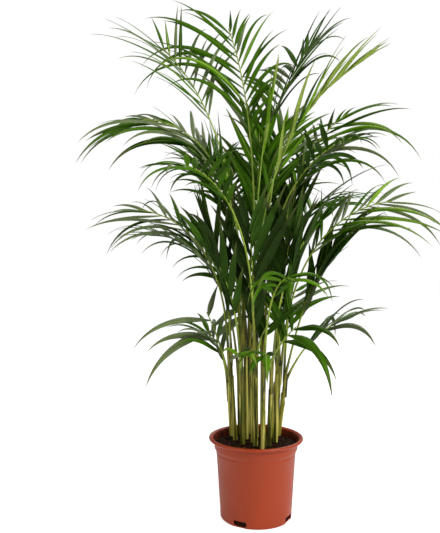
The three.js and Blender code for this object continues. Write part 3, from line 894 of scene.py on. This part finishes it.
def stalk_finish(settings, name, colour):
    """Leaf stalk: pale waxy green with fine lines along it, turning to the cane's olive at its foot,
    with dark lines there that are partly painted shade among the canes.
    """
    finish = Finish(name, specular_ior_level=0.45)
    lines = finish.cloud(180, stretch=(1, 1, 0.12))
    fresh = finish.mix(lines.ramp(0.3, 0.7), scaled(colour, 0.72), scaled(colour, 1.12))
    # The foot: the cane's olive with dark lines, partly real ageing and partly painted shade.
    aged_and_shaded = finish.mix(lines.ramp(0.42, 0.6), tint(44, 52, 4), scaled(settings.cane, 0.88))
    shades = finish.mix(finish.place("Y").ramp(0.1, 0.35), aged_and_shaded, fresh)
    return finish.surface(shades, 0.4 + lines * 0.15, lines, 0.0002)


def round_ring(centre, radius, swell=None):
    """A level ring of points round a cane. The swell, a function of the heading, changes its radius."""
    ring = []
    for side in range(CANE_SIDES):
        heading = 360 * side / CANE_SIDES
        ring.append(centre + heading_vector(heading) * radius * (swell(heading) if swell else 1))
    return ring


def cane_rings(cane, number):
    """A cane's skin: a swollen foot, faint ring scars, and a rounded tip under the leaf bases."""
    ridges, ridge_depth, scar_width, scar_depth = 5, 0.03, 1.6, 0.06
    spacing = 30 + jitter(6, number, 1, 1)

    def ridged(heading):
        return 1 + ridge_depth * math.cos(math.radians(heading * ridges + number * 40))

    rings = []
    for step in range(CANE_STEPS + 1):
        share = step / CANE_STEPS
        past_scar = (share * cane["height"]) % spacing - spacing / 2
        scar = math.exp(-((past_scar / scar_width) ** 2)) * bounded(1.4 - 2 * share)
        radius = cane_radius(share) * (1 + scar_depth * scar)
        rings.append(round_ring(cane_point(cane, share), radius, ridged))
    crown = cane_point(cane, 1)
    rings.append(round_ring(crown + UP * 3, CANE_TIP_RADIUS * 0.8))
    rings.append([crown + UP * 5])
    return rings


def sheath_rings(cane, mouth, turn):
    """An old leaf base round the lower cane. Its mouth is slanted, and it is open at the top."""
    steps, gap, wall, slant, flare = 12, 0.15, 0.35, 16, 0.04
    outer, inner = [], []
    for step in range(steps + 1):
        share = mouth * step / steps
        tilt = slant * (step / steps) ** 3
        for rings, out in ((outer, gap + wall), (inner, gap)):
            radius = (cane_radius(share) + out) * (1 + flare * (step / steps) ** 4)
            ring = round_ring(cane_point(cane, share), radius)
            for side, point in enumerate(ring):
                point.z += tilt * math.cos(math.radians(360 * side / CANE_SIDES - turn))
            rings.append(ring)
    return outer + inner[::-1]


class PALM_OT_canes(bpy.types.Operator):
    """Make the clump of canes with their ring scars and old leaf bases"""

    bl_idname = "palm.canes"
    bl_label = "Canes"

    def execute(self, context):
        settings = context.scene.palm_plant
        patchwork = Patchwork()
        for number, cane in enumerate(CANES):
            patchwork.loft(cane_rings(cane, number))
            for layer, mouth in enumerate(SHEATH_MOUTHS):
                mouth += jitter(0.22, number, layer, 2)
                turn = cane["heading"] + 180 * layer + jitter(70, number, layer, 3)
                rings = sheath_rings(cane, mouth, turn)
                margin = (len(rings) // 2 - 1, len(rings) // 2)
                patchwork.loft(rings, lambda ring, side: int(ring in margin))
        piece = patchwork.piece("cane_clump", [cane_finish(settings), sheath_finish()])
        seat(piece, "cane_skin", *[f"cane_{number}" for number in range(1, len(CANES) + 1)])
        return {"FINISHED"}


def stem_rings(frond, stem):
    """A leaf stalk: broad and clasping at its base, with a channel along its face, fine at its end.
    It starts inside the cane and leans out of it."""
    whole = frond["stalk"] + frond["blade"]
    base_swell, base_length, channel_depth, channel_start = 1.3, 55, 0.34, 60
    point, _, face, side = stem[0]
    axis = cane_point(CANES[frond["cane"]], 1)
    sunk = [(point.lerp(axis, depth / 60) - UP * depth, UP, face, side) for depth in (46, 30, 14)]
    rings = []
    for place, (point, _, face, side) in enumerate(sunk + stem, -len(sunk)):
        length = max(0, place / STEM_STEPS * whole)
        slim = blend(STEM_RADIUS, STEM_END_RADIUS * 0.7, bounded(length / whole) ** 1.3)
        radius = slim + base_swell * math.exp(-((length / base_length) ** 1.2))
        channel = channel_depth * bounded(length / channel_start)
        ring = []
        for number in range(STEM_SIDES):
            turn = 2 * math.pi * number / STEM_SIDES
            hollow = 1 - channel * max(0, math.cos(turn)) ** 3
            ring.append(point + (face * math.cos(turn) + side * math.sin(turn)) * radius * hollow)
        rings.append(ring)
    rings.append([stem[-1][0] + stem[-1][1] * 2])
    return rings


class PALM_OT_stalks(bpy.types.Operator):
    """Make the leaf stalks, each one up from its cane's tip and on through its blade"""

    bl_idname = "palm.stalks"
    bl_label = "Leaf stalks"

    def execute(self, context):
        settings = context.scene.palm_plant
        patchwork = Patchwork()
        for frond in PLANS:
            young = frond["tone"] >= LEAF_TONES.index("bright")
            patchwork.loft(stem_rings(frond, grow_stem(frond)), int(young))
        finishes = [
            stalk_finish(settings, "stalk_skin", settings.stalk),
            stalk_finish(settings, "young_stalk_skin", tint(164, 200, 70)),
        ]
        seat(patchwork.piece("leaf_stalks", finishes), "frond_green")
        return {"FINISHED"}


# Leaflets

# Veins for the relief, and folds painted across the leaflet as stripes of light and shade.
VEINS, SHADED_FOLDS = 16, 5


def leaf_finish(name, colour, roughness):
    """Leaf skin: its own green, lighter in places at random, with painted light and shade in
    stripes along each lengthwise fold and painted shade darker towards its root, a drier tip,
    and a relief of fine veins."""
    finish = Finish(name, specular_ior_level=0.16, specular_tint=(*LEAF_SHEEN, 1))
    mottle = finish.cloud(24)
    across, along = finish.place("X"), finish.place("Y")
    veins, fold_shade = [(across * (2 * math.pi * count)).sine() for count in (VEINS, SHADED_FOLDS)]
    # Painted light: stripes of light and shade along the folds, and painted shade towards the root.
    light = mottle.ramp(0.3, 0.7) * 0.5 + fold_shade.ramp(-1, 1) * 0.3 + along * 0.2
    shades = finish.mix(light, scaled(colour, 0.72), scaled(colour, 1.3))
    dry = finish.mix(along.ramp(0.7, 1) * 0.6, shades, tint(126, 118, 78))
    return finish.surface(dry, roughness + mottle * 0.12, veins, 0.00006)


def leaflet_rings(leaflet, thickness):
    """A folded blade: two drooping halves either side of a raised midrib, closed underneath."""
    root_fold, fold, tip_fold = 52, 24, 12
    line = leaflet_line(leaflet)
    rings = []
    for step, (point, across, under) in enumerate(line[:-1]):
        share = step / LEAFLET_STEPS
        half = half_width(leaflet["width"], share)
        rib = min(0.7, 0.2 * half)
        twist = math.radians(leaflet["twist"] * share)
        level = across * math.cos(twist) + under * math.sin(twist)
        below = under * math.cos(twist) - across * math.sin(twist)
        drop = math.radians(blend(root_fold, fold, bounded(share / 0.35)) + tip_fold * bounded(share - 0.6))
        out, down = half * math.cos(drop), half * math.sin(drop)
        crowned = down / 2 - 0.1 * half
        spots = (
            (-out, down),
            (-out / 2, crowned),
            (-rib, 0),
            (rib, 0),
            (out / 2, crowned),
            (out, down),
            (out / 2, crowned + thickness),
            (0, thickness * 2),
            (-out / 2, crowned + thickness),
        )
        rings.append([point + level * sideways + below * lower for sideways, lower in spots])
    rings.append([line[-1][0]])
    return rings


# The strips of a leaflet, round from its left edge, and how far across it each one starts.
STRIPS = ("face", "face", "midrib", "face", "face", "underside", "underside", "underside", "underside")
ACROSS = (0, 0.25, 0.47, 0.53, 0.75, 1, 0.75, 0.5, 0.25)


def leaf_finishes(settings):
    """The faces' greens in order, then the undersides' in the same order, then the two midribs.
    A leaflet with the painted sheen is deep green underneath, as the sheen is on its face only."""
    face_roughness, underside_roughness, midrib_roughness = 0.36, 0.52, 0.45
    finishes = [leaf_finish(f"leaf_{tone}", getattr(settings, tone), face_roughness) for tone in LEAF_TONES]
    for tone in LEAF_TONES:
        green = settings.deep if tone == "waxy" else getattr(settings, tone)
        under = [blend(part, grey, settings.bloom_share) for part, grey in zip(green, settings.bloom)]
        finishes.append(leaf_finish(f"underside_{tone}", under, underside_roughness))
    for name, colour in (("midrib_dark", tint(96, 124, 44)), ("midrib_pale", tint(186, 200, 110))):
        finishes.append(leaf_finish(name, colour, midrib_roughness))
    return finishes


def strip_finish(strip, tone):
    """The place in leaf_finishes of a strip of a leaflet of this tone."""
    if strip == "face":
        return tone
    if strip == "underside":
        return len(LEAF_TONES) + tone
    return 2 * len(LEAF_TONES) + (LEAF_TONES[tone] in PALE_RIBBED)


class PALM_OT_leaflets(bpy.types.Operator):
    """Make the leaflets of every frond, joined tier by tier"""

    bl_idname = "palm.leaflets"
    bl_label = "Leaflets"

    def execute(self, context):
        settings = context.scene.palm_plant
        finishes = leaf_finishes(settings)
        thickness = settings.leaf_thickness / MM
        for tier in FRONDS:
            patchwork = Patchwork()
            fronds = [plan for plan in PLANS if plan["tier"] == tier]
            for frond in fronds:
                stem = grow_stem(frond)
                for pair in range(frond["pairs"]):
                    for side in (-1, 1):
                        leaflet = plan_leaflet(frond, stem, pair, side)
                        colours = [strip_finish(strip, leaflet["tone"]) for strip in STRIPS]
                        rings = leaflet_rings(leaflet, thickness)
                        patchwork.loft(rings, lambda ring, strip: colours[strip], ACROSS)
            piece = patchwork.piece(f"{tier}_leaflets", finishes, crease=70)
            seat(piece, "frond_green", *[frond["name"] for frond in fronds])
        return {"FINISHED"}


# Stage

# The photograph's camera: where it stood, in metres, its focal length and its picture's longer side,
# in pixels, and that side in millimetres.
CAMERA_PLACE = (-0.0916, -1.55, 0.636)
FOCAL_PIXELS = 606
PHOTO_HEIGHT = 533
SENSOR = 36
# The middle of the plant, in metres, which the lights look at.
PLANT_MIDDLE = Vector((0, 0, 0.7))


def add_light(name, place, size, power):
    """A round soft light at this place, as wide as its size in metres."""
    data = bpy.data.lights.new(name, "AREA")
    data.shape, data.size, data.energy = "DISK", size, power
    lamp = add_object(name, data)
    lamp.location = place
    lamp.rotation_euler = (PLANT_MIDDLE - lamp.location).to_track_quat("-Z", "Y").to_euler()


def add_camera():
    """A level camera that looks along +Y, as the photograph was taken."""
    data = bpy.data.cameras.new("camera")
    data.sensor_fit, data.sensor_width = "AUTO", SENSOR
    data.lens = FOCAL_PIXELS / PHOTO_HEIGHT * SENSOR
    camera = add_object("camera", data)
    camera.location = CAMERA_PLACE
    camera.rotation_euler = (math.radians(90), 0, 0)
    bpy.context.scene.camera = camera


def floor_finish(settings):
    """A pale matt floor with hardly any mottle. It glows as a lit studio floor does, but hardly onto
    the plant."""
    finish = Finish("stage_floor", roughness=0.9, specular_ior_level=0.1, emission_strength=1)
    onto_plant = 0.2
    seen = finish.node("ShaderNodeLightPath", output="Is Camera Ray")
    glow = finish.mix(seen, (settings.floor_glow * onto_plant,) * 3, (settings.floor_glow,) * 3)
    finish.feed(finish.shader.inputs["Emission Color"], glow)
    mottle = finish.cloud(0.8, detail=1)
    colour = finish.mix(mottle, scaled(settings.floor, 0.985), scaled(settings.floor, 1.015))
    return finish.surface(colour)


def add_floor(settings):
    """A round floor so wide that no edge shows. The cap that the loft puts on its rim comes off."""
    patchwork = Patchwork()
    patchwork.loft(turned_rings([(radius, 0) for radius in (0, 300, 3000, 30000)], 72))
    patchwork.faces.pop()
    patchwork.finishes.pop()
    patchwork.piece("stage_floor", [floor_finish(settings)])


def add_sky(settings):
    """Even light from all round, in front of a plain bright backdrop."""
    world = bpy.data.worlds.new("studio_sky")
    world.use_nodes = True
    nodes, links = world.node_tree.nodes, world.node_tree.links
    seen = nodes.new("ShaderNodeLightPath").outputs["Is Camera Ray"]
    strength = nodes.new("ShaderNodeMapRange")
    strength.inputs["To Min"].default_value = settings.sky
    strength.inputs["To Max"].default_value = settings.backdrop
    links.new(seen, strength.inputs["Value"])
    background = nodes["Background"].inputs
    background["Color"].default_value = (1, 1, 1, 1)
    links.new(strength.outputs["Result"], background["Strength"])
    bpy.context.scene.world = world


class PALM_OT_stage(bpy.types.Operator):
    """Make the camera, the pale floor and the soft studio light"""

    bl_idname = "palm.stage"
    bl_label = "Stage"

    def execute(self, context):
        settings = context.scene.palm_stage
        add_camera()
        add_floor(settings)
        add_light("key_light", (2.3, -2.2, 2.6), 1.8, settings.key_power)
        add_light("fill_light", (-2.6, -1.8, 1.6), 2.4, settings.fill_power)
        add_light("back_light", (0.8, 2.4, 2.4), 1.8, settings.back_power)
        add_sky(settings)
        context.scene.view_settings.view_transform = "Standard"
        return {"FINISHED"}


OPERATORS = (PALM_OT_stage, PALM_OT_pot, PALM_OT_soil, PALM_OT_canes, PALM_OT_stalks, PALM_OT_leaflets)
SETTINGS = {
    "palm_pot": PalmPotSettings,
    "palm_plant": PalmPlantSettings,
    "palm_stage": PalmStageSettings,
}


class PALM_PT_sidebar(bpy.types.Panel):
    """The palm's sizes and colours, and its pieces"""

    bl_idname = "PALM_PT_sidebar"
    bl_label = "Potted palm"
    bl_space_type = "VIEW_3D"
    bl_region_type = "UI"
    bl_category = "Palm"

    def draw(self, context):
        for operator in OPERATORS:
            self.layout.operator(operator.bl_idname)
        for name, group in SETTINGS.items():
            box = self.layout.box()
            for field in group.__annotations__:
                box.prop(getattr(context.scene, name), field)


CLASSES = (*SETTINGS.values(), *OPERATORS, PALM_PT_sidebar)


def register():
    for cls in CLASSES:
        bpy.utils.register_class(cls)
    for name, group in SETTINGS.items():
        setattr(bpy.types.Scene, name, bpy.props.PointerProperty(type=group))


def unregister():
    for name in SETTINGS:
        delattr(bpy.types.Scene, name)
    for cls in reversed(CLASSES):
        bpy.utils.unregister_class(cls)


def main():
    register()
    bpy.ops.palm.stage()
    bpy.ops.palm.pot()
    bpy.ops.palm.soil()
    bpy.ops.palm.canes()
    bpy.ops.palm.stalks()
    bpy.ops.palm.leaflets()
    bpy.context.view_layer.update()


if __name__ == "__main__":
    main()
